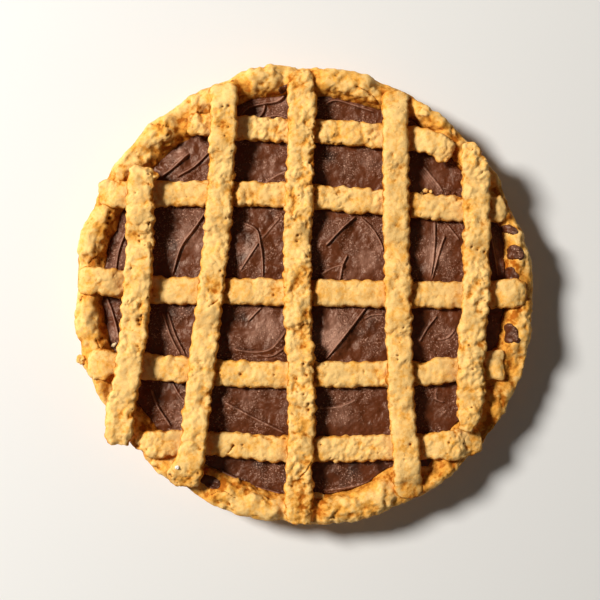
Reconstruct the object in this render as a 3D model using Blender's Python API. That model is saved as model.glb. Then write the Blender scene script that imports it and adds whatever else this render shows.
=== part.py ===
"""A round lattice tart with a chocolate hazelnut filling.

The tart is built as a baker makes it. A shortcrust case with an uneven, hand-pressed rim holds a
spread filling. Five strips of dough lie across the filling, and five more lie over those. Every
strip was cut with a fluted wheel, so its edges are scalloped. Sizes are in millimetres and become
metres as each mesh is made. +Z is up, and the tart stands on the plane z = 0.
"""

import math

import bmesh
import bpy
import numpy as np
from mathutils import Vector, noise
from mathutils.geometry import delaunay_2d_cdt

METRES_PER_MM = 0.001
GAP = 0.35  # between neighbouring solids

# The case
OUTER_RADIUS = 118.3
INNER_RADIUS = 105.0
FOOT_RADIUS = 110.0
FLOOR_THICKNESS = 6.5
CREST_HEIGHT = 25.8
SECTORS = 132

# Uneven places along the rim: bearing and half width in degrees, then the change in millimetres
OUTLINE_CHANGES = [
    (2, 8, 1.4), (22, 5, -1.6), (40, 4, -1.4), (48, 6, -1.2), (79, 7, 2.2), (97, 4, 3.0),
    (105, 3, 2.8), (113, 12, 1.2), (119, 4, 1.4), (133, 7, 2.8), (147, 4, 2.2), (155, 9, 1.6),
    (167, 6, 2.8), (188, 9, 2.8), (197, 1.6, 3.0), (205, 4, 2.2), (221, 5, -1.6), (230, 5, 2.0),
    (251, 11, 1.8), (286, 14, 3.0), (307, 8, 3.0), (325, 6, 3.2), (335, 5, 2.0), (343, 4, 2.6),
    (350, 2.5, 2.0),
]
INNER_CHANGES = [
    (17, 9, 3.6), (56, 12, 3.2), (104, 8, 1.4), (128, 14, -2.2), (176, 14, 1.2), (246, 12, -2.2),
    (296, 7, -4.0), (306, 4, 6.0), (334, 12, -2.0),
]
CREST_CHANGES = [
    (62, 6, -1.4), (100, 7, 1.6), (128, 9, 1.0), (170, 9, 0.8), (247, 7, -1.6), (262, 8, 0.8),
    (325, 15, -3.4), (350, 5, 1.2), (28, 6, -2.0),
]
LUMP_SIZE = 9.5
LUMP_HEIGHT = 1.5

# The section of the rim, from the filling's edge to the widest point: share of the rim's width,
# then share of its rise above the filling
RIM_SECTION = [
    (0.0, 0.0), (0.1, 0.4), (0.24, 0.8), (0.42, 0.98), (0.62, 1.0), (0.84, 0.82), (1.0, 0.34),
]
WALL_SECTION = [(3.2, 11.0), (6.2, 2.6)]  # how far inside the widest point, and at what height
WALL_LUMP_HEIGHT = 0.7
WALL_FOLLOWS_RIM = 0.6  # share of the outline's changes that the wall below it takes
FOOT_UNEVENNESS = 0.5
FLOOR_SETBACK = 4.0  # how far inside the rim's edge the floor begins
CREASE_ANGLE = 50

# The filling
FILLING_LEVEL = 18.0
FILLING_DOME = 1.3
FILLING_LUMP_SIZE = 16.0
FILLING_LUMP_HEIGHT = 0.5
FILLING_EVEN_EDGE = (9.0, 2.0)  # where the strokes fade out, measured in from the case
FILLING_PRESSED = 0.6  # how far a cross strip sinks into it
LIP_WIDTH = 0.45  # of a stroke's half width
TROUGH_DEPTH = 0.4  # of its lip's height
FILLING_CLEARANCE = 0.5  # from the case
FILLING_MESH_SIZE = 6.6

# Strokes of the spatula: start, end, how far the stroke bows, half width, height of its lip
SPATULA_STROKES = [
    (-17, 8, -29, 40, -6, 4.6, 1.4), (-30, 8, -20, 24, 0, 4.6, 1.0), (14, 21, 31, 38, 0, 4.6, 1.7),
    (45, 24, 32, 42, -2, 3.6, 1.0), (19, 20, 6, 14, -1, 4.6, 1.5), (22, 5, 26, 19, 1, 3.6, 1.3),
    (-65, 6, -46, 43, 2, 4.6, 1.5), (70, 7, 72, 39, -1, 3.6, 1.1), (-94, 9, -89, 32, 1, 4.6, 1.5),
    (93, 32, 98, 7, 0, 3.6, 1.0), (18, -34, 37, -9, 0, 4.6, 1.7), (-11, -14, -40, -24, 7, 4.6, 1.7),
    (-10, -23, -26, -28, 2, 3.6, 1.0), (-61, -32, -71, -8, 1, 3.6, 1.4), (63, -28, 73, -13, 1, 3.6, 1.0),
    (-93, -24, -100, 0, -1, 3.6, 1.4), (-65, -68, -76, -47, 1, 4.6, 1.5), (-7, -69, -41, -51, 0, 4.6, 1.3),
    (26, -50, 8, -55, 2, 4.6, 1.1), (-74, 58, -58, 71, -1, 3.6, 1.7), (-65, 58, -46, 73, -1, 3.6, 1.6),
    (-11, 69, -24, 61, 0, 4.6, 1.3), (-8, -100, -44, -87, 1, 4.6, 1.5), (76, 50, 62, 67, 0, 4.6, 1.0),
]

# The strips
STRIP_THICKNESS = 4.7
STRIP_LUMP_SIZE = 14.0
THICKNESS_CHANGE = 0.35
WIDTH_CHANGE = 0.05  # of the width
CRAG_SIZE = 7.0
CRAG_DEPTH = 0.5
CUTTER_PITCH = 6.4
SCALLOP_DEPTH = 0.6
SCALLOP_SKEW = 0.18  # how far one edge's scallops may stand ahead, as a share of the pitch
STEEPEST_SAG = 0.022  # millimetres of drop for each square millimetre of free length
DENT = 4.3  # how deep a strip's end is pressed into the rim
DENT_MARGIN = 1.6
DENT_SLOPE = 4.5
CROSSING_SQUEEZE = 0.9

# How blunt a strip's end is: shares of its width and of its thickness, station by station
END_WIDTHS = [0.72, 0.93, 1.0]
END_HEIGHTS = [0.45, 0.74, 0.84, 0.93, 1.0]
TORN_END = 0.9

# Half of a strip's section, as shares of the half width and the thickness, with the share of the
# scallop that each point takes
STRIP_SECTION = [(-0.88, 0.0, 0.5), (-1.0, 0.45, 1.0), (-0.8, 0.92, 0.8), (0.0, 1.0, 0.0)]

# Each strip's middle line, with its width first. The cross strips run left to right.
CROSS_STRIPS = [
    (12.6, [(-61, 89), (-34, 87), (13, 85), (39, 83), (56, 81.5), (68, 78.5), (77, 74)]),
    (13.3, [(-107, 53.5), (-93, 51.5), (-70, 52.5), (-34, 52.5), (8, 50.5), (56, 46.5), (97, 43.5),
            (105, 44.5)]),
    (14.2, [(-117, 9), (-94, 5), (-75, 2), (-10, 1), (78, -0.5), (115, 0.5)]),
    (13.6, [(-112, -36.5), (-81, -38), (-44, -41), (-10, -42), (56, -41), (94, -37.5), (104, -36.5)]),
    (13.3, [(-89, -74), (-81, -77), (-44, -78), (-10, -80.5), (39, -80), (73, -78.5), (92, -76)]),
]
TOP_STRIPS = [
    (14.6, [(-81, 65), (-85, 52), (-85.5, 16), (-88, -14), (-91, -42), (-94.5, -59), (-96.5, -78)]),
    (14.0, [(-42, 109.5), (-42, 86), (-45, 38), (-48.5, 3), (-55, -55), (-57.5, -80.5), (-60, -99)]),
    (14.4, [(-2, 117), (-1.5, 85), (-3.5, 38), (-3.5, -13), (-1.5, -55), (-3, -99), (-3, -118)]),
    (13.8, [(47, 106), (47.5, 49), (48.5, -13), (50, -55), (52, -80.5), (54, -105)]),
    (14.2, [(87, 79), (88.5, 54.5), (88.5, 5), (85, -41.5), (85.5, -55), (83, -70.5)]),
]

# Nicked, torn and spread places along a strip: how far from its start and over what half length,
# then how far its right and its left edge stand out there
EDGE_CHANGES = {
    "cross_strip_1": [(138, 7, 1.8, -1.2), (112, 9, 0.8, 0.8)],
    "cross_strip_2": [(8, 8, 0.8, 1.2), (212, 6, -1.0, 1.6)],
    "cross_strip_3": [(4, 7, 1.8, -0.8), (20, 3, 1.2, 0.0), (225, 6, 0.8, 0.8)],
    "cross_strip_4": [(4, 8, 1.6, 1.8), (14, 3, -2.4, 0.0), (174, 2.5, 0.4, -3.2), (212, 5, 0.6, 1.2)],
    "cross_strip_5": [(4, 5, -2.0, -1.0), (12, 4, 2.2, 0.0), (166, 8, 1.6, 1.8)],
    "top_strip_1": [(0, 6, 2.6, 1.4), (6, 2.5, 0.0, -2.4), (138, 8, -1.0, 0.6)],
    "top_strip_2": [(0, 7, 1.2, -0.4), (205, 9, 5.0, -0.6)],
    "top_strip_3": [(0, 6, -0.8, -0.8), (150, 12, -0.6, 0.4)],
    "top_strip_4": [(0, 6, 0.6, 1.0), (205, 7, 1.2, 0.6)],
    "top_strip_5": [(0, 9, -0.4, -4.4), (124, 5, -0.6, 2.0), (148, 7, -1.4, -2.6)],
}

DOUGH_COLOUR = (0.80, 0.47, 0.15, 1.0)
STRIP_COLOUR = (0.86, 0.54, 0.19, 1.0)
FILLING_COLOUR = (0.13, 0.05, 0.035, 1.0)


def smooth_share(start, end, value):
    """0 before start, 1 after end, and an even S between them."""
    share = min(1.0, max(0.0, (value - start) / (end - start)))
    return share * share * (3 - 2 * share)


def changed(base, changes, bearing):
    """The base value with every named change that reaches this bearing, in degrees."""
    total = base
    for centre, half_width, height in changes:
        away = (bearing - centre + 180) % 360 - 180
        total += height * math.exp(-((away / half_width) ** 2))
    return total


def lumps(x, y, size, seed=0.0):
    """Even noise from -1 to 1 whose lumps are about this size."""
    return noise.noise(Vector((x / size, y / size, seed)))


def curve_through(points, spacing):
    """Points evenly spaced along a smooth curve through the given ones."""
    ends = [
        [2 * points[0][i] - points[1][i] for i in range(2)],
        [2 * points[-1][i] - points[-2][i] for i in range(2)],
    ]
    knots = [ends[0], *points, ends[1]]
    fine = []
    for a, b, c, d in zip(knots, knots[1:], knots[2:], knots[3:]):
        for step in range(24):
            t = step / 24
            fine.append([
                0.5 * (2 * b[i] + (c[i] - a[i]) * t + (2 * a[i] - 5 * b[i] + 4 * c[i] - d[i]) * t * t
                       + (3 * b[i] - a[i] - 3 * c[i] + d[i]) * t ** 3)
                for i in range(2)
            ])
    fine.append(list(points[-1]))
    walked = [0.0]
    for a, b in zip(fine, fine[1:]):
        walked.append(walked[-1] + math.dist(a, b))
    count = max(4, round(walked[-1] / spacing))
    line, index = [], 0
    for station in range(count + 1):
        target = walked[-1] * station / count
        while index < len(walked) - 2 and walked[index + 1] < target:
            index += 1
        share = (target - walked[index]) / (walked[index + 1] - walked[index])
        line.append([fine[index][i] + share * (fine[index + 1][i] - fine[index][i]) for i in range(2)])
    return line


class Strip:
    """A strip's place and plan: its middle line and how far each edge stands from it."""

    def __init__(self, name, width, points, seed):
        self.name = name
        self.width = width
        self.seed = seed
        self.line = curve_through(points, CUTTER_PITCH / 2)
        self.spacing = math.dist(self.line[0], self.line[1])
        self.reaches = [self.reach(index) for index in range(len(self.line))]

    def stations_from_end(self, index):
        return min(index, len(self.line) - 1 - index)

    def along_and_across(self, index):
        """The unit vectors along the strip and to its left, at one station."""
        line = self.line
        a, b = line[max(0, index - 1)], line[min(len(line) - 1, index + 1)]
        length = math.dist(a, b)
        ux, uy = (b[0] - a[0]) / length, (b[1] - a[1]) / length
        return (ux, uy), (-uy, ux)

    def reach(self, index):
        """How far the right and the left edge stand from the middle line, without the scallops."""
        blunt = END_WIDTHS[min(self.stations_from_end(index), len(END_WIDTHS) - 1)]
        x, y = self.line[index]
        half = self.width / 2 * blunt * (1 + WIDTH_CHANGE * lumps(x, y, STRIP_LUMP_SIZE, self.seed))
        edges = [half, half]
        for centre, half_length, *moves in EDGE_CHANGES[self.name]:
            share = math.exp(-(((index * self.spacing - centre) / half_length) ** 2))
            edges = [edge + share * move for edge, move in zip(edges, moves)]
        return edges


CROSS = [
    Strip(f"cross_strip_{i}", width, points, i)
    for i, (width, points) in enumerate(CROSS_STRIPS, start=1)
]
TOP = [
    Strip(f"top_strip_{i}", width, points, i + len(CROSS))
    for i, (width, points) in enumerate(TOP_STRIPS, start=1)
]


def pressed(x, y, strips, margin, slope):
    """1 under a strip, falling to 0 beside it."""
    most = 0.0
    for strip in strips:
        nearest = min(math.hypot(x - px, y - py) for px, py in strip.line)
        edge = strip.width / 2 + margin
        most = max(most, 1 - smooth_share(edge, edge + slope, nearest))
    return most


def outer_radius(bearing):
    angle = math.radians(bearing)
    x, y = OUTER_RADIUS * math.cos(angle), OUTER_RADIUS * math.sin(angle)
    return changed(OUTER_RADIUS, OUTLINE_CHANGES, bearing) + LUMP_HEIGHT * lumps(x, y, LUMP_SIZE)


def wall_radius(bearing, inset, height):
    """The outer wall below the rim, which is smoother than the rim but not even."""
    angle = math.radians(bearing)
    x, y = OUTER_RADIUS * math.cos(angle), OUTER_RADIUS * math.sin(angle)
    rim_change = changed(0.0, OUTLINE_CHANGES, bearing)
    evened = OUTER_RADIUS + WALL_FOLLOWS_RIM * rim_change
    return evened - inset + WALL_LUMP_HEIGHT * lumps(x, y, LUMP_SIZE, height)


def inner_radius(bearing):
    angle = math.radians(bearing)
    x, y = INNER_RADIUS * math.cos(angle), INNER_RADIUS * math.sin(angle)
    return changed(INNER_RADIUS, INNER_CHANGES, bearing) + LUMP_HEIGHT * lumps(x, y, LUMP_SIZE, 5.0)


def section_height(share):
    """How far the rim has risen above the filling, as a share, at a share of its width."""
    for (a, low), (b, high) in zip(RIM_SECTION, RIM_SECTION[1:]):
        if share <= b:
            return low + (high - low) * (share - a) / (b - a)
    return RIM_SECTION[-1][1]


def rim_height(bearing, share):
    """Height of the rim's upper side at a share of its width."""
    inner, outer = inner_radius(bearing), outer_radius(bearing)
    radius = inner + share * (outer - inner)
    angle = math.radians(bearing)
    x, y = radius * math.cos(angle), radius * math.sin(angle)
    crest = changed(CREST_HEIGHT, CREST_CHANGES, bearing) + LUMP_HEIGHT * lumps(x, y, LUMP_SIZE, 9.0)
    crest -= DENT * pressed(x, y, CROSS + TOP, DENT_MARGIN, DENT_SLOPE)
    return FILLING_LEVEL + (crest - FILLING_LEVEL) * section_height(share)


def stroke_relief(x, y, stroke):
    """One pass of the spatula: a shallow trough with a lip of filling along its left side."""
    x0, y0, x1, y1, bow, half_width, lip = stroke
    length = math.hypot(x1 - x0, y1 - y0)
    ux, uy = (x1 - x0) / length, (y1 - y0) / length
    along = ((x - x0) * ux + (y - y0) * uy) / length
    side = (y - y0) * ux - (x - x0) * uy - bow * (1 - (2 * along - 1) ** 2)
    ends = smooth_share(-0.15, 0.15, along) * (1 - smooth_share(0.85, 1.15, along))
    ridge = math.exp(-(((side - half_width) / (LIP_WIDTH * half_width)) ** 2))
    trough = math.exp(-((side / half_width) ** 2))
    return ends * lip * (ridge - TROUGH_DEPTH * trough)


def filling_height(x, y):
    """Height of the spread filling, which is pressed flat under the cross strips."""
    dome = FILLING_DOME * (1 - (math.hypot(x, y) / INNER_RADIUS) ** 2)
    swirls = sum(stroke_relief(x, y, stroke) for stroke in SPATULA_STROKES)
    swirls += FILLING_LUMP_HEIGHT * lumps(x, y, FILLING_LUMP_SIZE, 3.0)
    under = pressed(x, y, CROSS, 0.5, 3.0)
    fade_from, fade_to = (INNER_RADIUS - inset for inset in FILLING_EVEN_EDGE)
    edge = 1 - smooth_share(fade_from, fade_to, math.hypot(x, y))
    return FILLING_LEVEL + edge * (dome + swirls * (1 - under) - FILLING_PRESSED * under)


def bare_height(x, y):
    """Height of what the first strips lie on: the filling, or the rim round it."""
    bearing = math.degrees(math.atan2(y, x)) % 360
    radius = math.hypot(x, y)
    inner, outer = inner_radius(bearing), outer_radius(bearing)
    if radius > outer:
        return 0.0
    if radius < inner:
        return filling_height(x, y)
    return rim_height(bearing, (radius - inner) / (outer - inner))


def strip_thickness(x, y, crossing):
    """A strip is squeezed where one of the other layer crosses it."""
    squeezed = CROSSING_SQUEEZE * pressed(x, y, crossing, -2.0, 6.0)
    return STRIP_THICKNESS + THICKNESS_CHANGE * lumps(x, y, STRIP_LUMP_SIZE, 21.0) - squeezed


def draped(strip, height_under):
    """Height of a strip's underside at each station: it rests on what is under it, and it sags
    between the places that hold it no more steeply than the dough bends."""
    held = []
    for index, (x, y) in enumerate(strip.line):
        (ux, uy), (vx, vy) = strip.along_and_across(index)
        right, left = strip.reaches[index]
        samples = [
            height_under(x + across * vx + ahead * ux, y + across * vy + ahead * uy)
            for across in np.linspace(-right - 2 * SCALLOP_DEPTH, left + 2 * SCALLOP_DEPTH, 7)
            for ahead in (-strip.spacing / 2, 0, strip.spacing / 2)
        ]
        held.append(max(samples) + GAP)
    return [
        max(h - STEEPEST_SAG * ((i - j) * strip.spacing) ** 2 for j, h in enumerate(held))
        for i in range(len(strip.line))
    ]


def over_cross_strips(undersides):
    """Height of what the upper strips lie on, with the cross strips already in place."""
    def height(x, y):
        highest = bare_height(x, y)
        for strip, under in zip(CROSS, undersides):
            for index, (px, py) in enumerate(strip.line):
                if math.hypot(x - px, y - py) < max(strip.reaches[index]) + 2 * SCALLOP_DEPTH:
                    highest = max(highest, under[index] + strip_thickness(px, py, TOP))
        return highest
    return height


def closed_loop(work, points):
    """The edges of a new closed ring through these points, given in millimetres."""
    corners = [work.verts.new([c * METRES_PER_MM for c in point]) for point in points]
    return [work.edges.new((a, b)) for a, b in zip(corners, corners[1:] + corners[:1])]


def bridge_and_cap(work, rings):
    """Skins a closed body over rings of points, from its first end cap to its last."""
    loops = [closed_loop(work, points) for points in rings]
    for low, high in zip(loops, loops[1:]):
        bmesh.ops.bridge_loops(work, edges=low + high)
    for end in (loops[0], loops[-1]):
        bmesh.ops.contextual_create(work, geom=end)


def finished_object(name, work, material):
    """A named object from the bmesh, with its faces out, shaded smooth with sharp creases."""
    bmesh.ops.recalc_face_normals(work, faces=work.faces)
    mesh = bpy.data.meshes.new(name)
    work.to_mesh(mesh)
    work.free()
    mesh.shade_smooth()
    mesh.set_sharp_from_angle(angle=math.radians(CREASE_ANGLE))
    mesh.materials.append(material)
    obj = bpy.data.objects.new(name, mesh)
    bpy.context.scene.collection.objects.link(obj)
    return obj


def around(radius_at, height_at):
    """A ring of points round the tart, from rules for its radius and height at each bearing."""
    ring = []
    for sector in range(SECTORS):
        bearing = 360 * sector / SECTORS
        angle = math.radians(bearing)
        radius = radius_at(bearing)
        ring.append((radius * math.cos(angle), radius * math.sin(angle), height_at(bearing)))
    return ring


def build_case(material):
    """The shortcrust case: rings from its foot up the wall, over the rim and down to its floor."""
    rings = [around(lambda b: FOOT_RADIUS + FOOT_UNEVENNESS * lumps(b, 0, 20), lambda b: 0.0)]
    for inset, height in reversed(WALL_SECTION):
        rings.append(around(lambda b: wall_radius(b, inset, height), lambda b: height))
    for share, _ in reversed(RIM_SECTION):
        rings.append(around(
            lambda b: inner_radius(b) + share * (outer_radius(b) - inner_radius(b)),
            lambda b: rim_height(b, share),
        ))
    rings.append(around(lambda b: inner_radius(b) - FLOOR_SETBACK, lambda b: FLOOR_THICKNESS))
    work = bmesh.new()
    bridge_and_cap(work, rings)
    return finished_object("crust_case", work, material)


def build_filling(material):
    """The filling: an even net of triangles for its spread top, then straight sides and a foot."""
    rim = around(lambda b: inner_radius(b) - FILLING_CLEARANCE, lambda b: 0.0)
    foot = around(
        lambda b: inner_radius(b) - FILLING_CLEARANCE - FLOOR_SETBACK, lambda b: FLOOR_THICKNESS + GAP
    )
    inside = []
    row_height = FILLING_MESH_SIZE * math.sqrt(3) / 2
    rows = int(OUTER_RADIUS / row_height)
    for row in range(-rows, rows + 1):
        for column in range(-rows, rows + 1):
            x = (column + 0.5 * (row % 2)) * FILLING_MESH_SIZE
            y = row * row_height
            edge = inner_radius(math.degrees(math.atan2(y, x)) % 360)
            if math.hypot(x, y) < edge - 0.75 * FILLING_MESH_SIZE:
                inside.append((x, y))
    plan = [Vector(point[:2]) for point in rim + inside]
    border = [(i, (i + 1) % SECTORS) for i in range(SECTORS)]
    points, _, faces, *_ = delaunay_2d_cdt(plan, border, [], 1, 1e-6)

    work = bmesh.new()
    net = [
        work.verts.new([c * METRES_PER_MM for c in (p.x, p.y, filling_height(p.x, p.y))]) for p in points
    ]
    for face in faces:
        work.faces.new([net[i] for i in face])
    top_edge = [edge for edge in work.edges if edge.is_boundary]
    foot_edge = closed_loop(work, foot)
    bmesh.ops.bridge_loops(work, edges=top_edge + foot_edge)
    bmesh.ops.contextual_create(work, geom=foot_edge)
    return finished_object("hazelnut_filling", work, material)


def strip_ring(strip, crossing, under, index):
    """One station of a strip: its section, with the scallops that the fluted wheel cut."""
    x, y = strip.line[index]
    (ux, uy), (vx, vy) = strip.along_and_across(index)
    right, left = strip.reaches[index]
    from_end = strip.stations_from_end(index)
    thick = strip_thickness(x, y, crossing) * END_HEIGHTS[min(from_end, len(END_HEIGHTS) - 1)]
    worn = 0.85 + 0.6 * lumps(x, y, STRIP_LUMP_SIZE, strip.seed)
    scallop = SCALLOP_DEPTH * worn * (1 if index % 2 else -1)
    mirrored = [(-across, up, edge) for across, up, edge in reversed(STRIP_SECTION[:-1])]
    ring = []
    for across, up, edge in STRIP_SECTION + mirrored:
        side = math.copysign(1, across) if across else 0
        out = across * (left if side > 0 else right) + side * edge * scallop
        slip = SCALLOP_SKEW * CUTTER_PITCH * edge * side * math.sin(strip.seed * 7)
        if from_end == 0:
            slip = TORN_END * lumps(out, strip.seed, 4.0)
        crag = CRAG_DEPTH * lumps(x + out, y, CRAG_SIZE, strip.seed + 2) if up > 0.5 else 0.0
        ring.append((
            x + out * vx + slip * ux,
            y + out * vy + slip * uy,
            under + up * thick + min(0.0, crag),
        ))
    return ring


def build_strip(strip, crossing, undersides, material):
    work = bmesh.new()
    bridge_and_cap(work, [
        strip_ring(strip, crossing, under, index) for index, under in enumerate(undersides)
    ])
    return finished_object(strip.name, work, material)


def food_material(name, colour, roughness):
    material = bpy.data.materials.new(name)
    material.use_nodes = True
    shader = material.node_tree.nodes["Principled BSDF"]
    shader.inputs["Base Color"].default_value = colour
    shader.inputs["Roughness"].default_value = roughness
    shader.inputs["Metallic"].default_value = 0.0
    material.diffuse_color = colour
    return material


def centre_on_origin(objects):
    """Moves every mesh so that the tart's box is centred on the origin and stands on z = 0."""
    corners = [v.co for obj in objects for v in obj.data.vertices]
    middle = [(min(c[i] for c in corners) + max(c[i] for c in corners)) / 2 for i in range(2)]
    for obj in objects:
        for vertex in obj.data.vertices:
            vertex.co -= Vector((middle[0], middle[1], 0.0))


def main():
    for obj in list(bpy.data.objects):
        bpy.data.objects.remove(obj)

    made = [
        build_case(food_material("baked_case", DOUGH_COLOUR, 0.75)),
        build_filling(food_material("chocolate_hazelnut", FILLING_COLOUR, 0.42)),
    ]
    strip_dough = food_material("baked_strips", STRIP_COLOUR, 0.7)
    undersides = [draped(strip, bare_height) for strip in CROSS]
    made += [build_strip(strip, TOP, under, strip_dough) for strip, under in zip(CROSS, undersides)]
    height_under = over_cross_strips(undersides)
    made += [build_strip(strip, CROSS, draped(strip, height_under), strip_dough) for strip in TOP]
    centre_on_origin(made)


main()
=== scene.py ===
"""The looks of a round lattice tart: baked shortcrust over a chocolate hazelnut spread."""

import math

import bpy
import numpy as np
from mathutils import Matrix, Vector, noise
from mathutils.bvhtree import BVHTree


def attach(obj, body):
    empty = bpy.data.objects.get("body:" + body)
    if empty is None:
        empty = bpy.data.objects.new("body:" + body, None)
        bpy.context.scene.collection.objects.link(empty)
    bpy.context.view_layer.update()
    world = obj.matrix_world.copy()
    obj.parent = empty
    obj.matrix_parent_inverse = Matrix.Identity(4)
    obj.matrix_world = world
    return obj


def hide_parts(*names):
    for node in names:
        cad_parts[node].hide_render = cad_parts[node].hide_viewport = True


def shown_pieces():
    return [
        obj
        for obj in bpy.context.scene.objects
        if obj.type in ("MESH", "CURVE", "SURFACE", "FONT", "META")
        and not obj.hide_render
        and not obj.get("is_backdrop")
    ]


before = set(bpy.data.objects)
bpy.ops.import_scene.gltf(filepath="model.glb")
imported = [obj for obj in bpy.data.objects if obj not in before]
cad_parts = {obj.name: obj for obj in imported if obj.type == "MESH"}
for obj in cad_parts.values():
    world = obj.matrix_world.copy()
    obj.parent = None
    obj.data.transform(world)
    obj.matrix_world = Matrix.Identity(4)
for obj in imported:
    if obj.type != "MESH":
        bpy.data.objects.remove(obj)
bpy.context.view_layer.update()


# The studio: a pale, matt table, one large soft lamp low on the left as by a window, and a little
# light from all round. The camera looks straight down on the tart from arm's length.
TABLE_SIZE = 3.0
TABLE_COLOUR = (0.83, 0.83, 0.82, 1.0)
TABLE_ROUGHNESS = 0.8
CAMERA_PLACE = (-0.0023, -0.0225, 0.640)
CAMERA_TARGET = (-0.0023, -0.0035, 0.025)
PHOTO_WIDTH_AT_RIM = 0.3108  # how much the picture shows across at the rim
LAMP_PLACE = (-1.33, 0.59, 1.36)
LAMP_SIZE = 0.52
LAMP_POWER = 55.5
LAMP_COLOUR = (1.0, 0.97, 0.92)
LAMP_TARGET = (0.0, 0.0, 0.02)
FILL_PLACE = (0.5, -0.7, 1.3)
FILL_SIZE = 1.6
FILL_POWER = 0.6
FILL_COLOUR = (1.0, 0.94, 0.86)
SKY_COLOUR = (1.0, 0.88, 0.74, 1.0)
SKY_STRENGTH = 0.045

bpy.ops.object.select_all(action="DESELECT")
bpy.ops.mesh.primitive_plane_add(size=TABLE_SIZE)
table = bpy.context.object
table.name = "table"
paint = bpy.data.materials.new("pale_table")
paint.use_nodes = True
table_shader = paint.node_tree.nodes["Principled BSDF"]
table_shader.inputs["Base Color"].default_value = TABLE_COLOUR
table_shader.inputs["Roughness"].default_value = TABLE_ROUGHNESS
table.data.materials.append(paint)
table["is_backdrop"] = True


def facing(place, target):
    """The turn that points a lamp or a camera from its place at its target."""
    return (Vector(target) - Vector(place)).to_track_quat("-Z", "Y").to_euler()


def soft_lamp(name, place, size, power, colour):
    """A round lamp of this width that shines on the tart."""
    bpy.ops.object.light_add(type="AREA", location=place, rotation=facing(place, LAMP_TARGET))
    lamp = bpy.context.object
    lamp.name = name
    lamp.data.shape = "DISK"
    lamp.data.size = size
    lamp.data.energy = power
    lamp.data.color = colour


soft_lamp("window_lamp", LAMP_PLACE, LAMP_SIZE, LAMP_POWER, LAMP_COLOUR)
soft_lamp("fill_lamp", FILL_PLACE, FILL_SIZE, FILL_POWER, FILL_COLOUR)
sky = bpy.data.worlds.new("studio")
bpy.context.scene.world = sky
sky.use_nodes = True
sky.node_tree.nodes["Background"].inputs["Color"].default_value = SKY_COLOUR
sky.node_tree.nodes["Background"].inputs["Strength"].default_value = SKY_STRENGTH

bpy.ops.object.camera_add(location=CAMERA_PLACE, rotation=facing(CAMERA_PLACE, CAMERA_TARGET))
camera = bpy.context.object
camera.data.sensor_fit = "HORIZONTAL"
rim_distance = (Vector(CAMERA_PLACE) - Vector(CAMERA_TARGET)).length
camera.data.angle = 2 * math.atan(PHOTO_WIDTH_AT_RIM / 2 / rim_distance)
bpy.context.scene.camera = camera
bpy.context.scene.view_settings.view_transform = "Standard"


# The case: rich shortcrust, pressed into a tin by hand, its rim folded and thumbed down unevenly.
# It is baked golden, browner where it stands thin, and its surface is full of fine lumps, pits and cracks.
# Painted shade darkens its pits, creases and low slope and the corners beside the strips. It starts as a
# copy of its solid, which is subdivided and then roughened.
MM = 0.001  # places and sizes from here on are in millimetres, where nothing else is said
DOUGH_PALE = (0.98, 0.625, 0.225, 1.0)
DOUGH_GOLD = (0.92, 0.43, 0.065, 1.0)
DOUGH_BROWN = (0.46, 0.125, 0.008, 1.0)
# The colour of painted shade in the pits, cracks and hollows.
DOUGH_PIT_SHADE = (0.15, 0.032, 0.002, 1.0)
DOUGH_SHEEN = (1.0, 0.72, 0.40, 1.0)
CASE_PALE_SHARE = -0.05  # more than 0 makes the dough paler, less makes it browner
DOUGH_GRAIN_DEPTH = 0.25
GAP_FILL = 0.25  # how far dough swells to meet its neighbours
CASE_ROUGHNESS = 1.05
FILLET = 1.3  # how high dough has run together in the corner beside a strip
FILLET_REACH = 2.4  # and how far from the strip
CORNER_BROWNING_AND_SHADOW = 3.8  # how far from a strip the dough in its corner is browner: a little on every side, and mostly painted shadow where the strip lies to its left
CRACK_WIDTH = 0.55
CRACK_DEPTH = 0.9
CRAG_PATCHES = 12.0  # the sizes of what makes the dough uneven, the largest first
BROAD_SIZE = 7.5
FOLD_SIZE = 6.0
LUMP_SIZE = 3.2
KNOB_SIZE = 1.6
LARGE_PITS = (5.0, 0.25, 1.25)  # how far apart, and the smallest and the largest radius
SMALL_PITS = (2.6, 0.2, 0.8)
TIN_BAND = (104.0, 108.0)  # the case nears its tin between these radii
TIN_TOP = (24.0, 18.0)  # and below these heights
RIM_TOP_BAND = (100.0, 104.0)
RIM_TOP_HEIGHT = (20.0, 24.0)
SLOPE_BAND = (111.0, 104.0)  # the rim slopes down to the filling between these radii
SLOPE_HEIGHT = (25.5, 21.0)
FAR_AWAY = 9.0  # another piece beyond this has no effect
UNDERSIDE_HEIGHT = 0.3  # below this the case lies flat on its tin
SINK_OF_ENDS = 0.7  # how far the rim stays below the top of a strip's end
LOOK_FROM = 0.1  # a height above the whole tart, in metres
MERGE_DISTANCE = 0.00001  # in metres
FLAT_ENOUGH = math.radians(0.4)
QUAD_BEND = math.radians(80)  # how bent or askew two triangles may lie and still become a quad
PIT_SEED = 5  # which way the pits are drawn out of round, the same on every run

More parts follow.
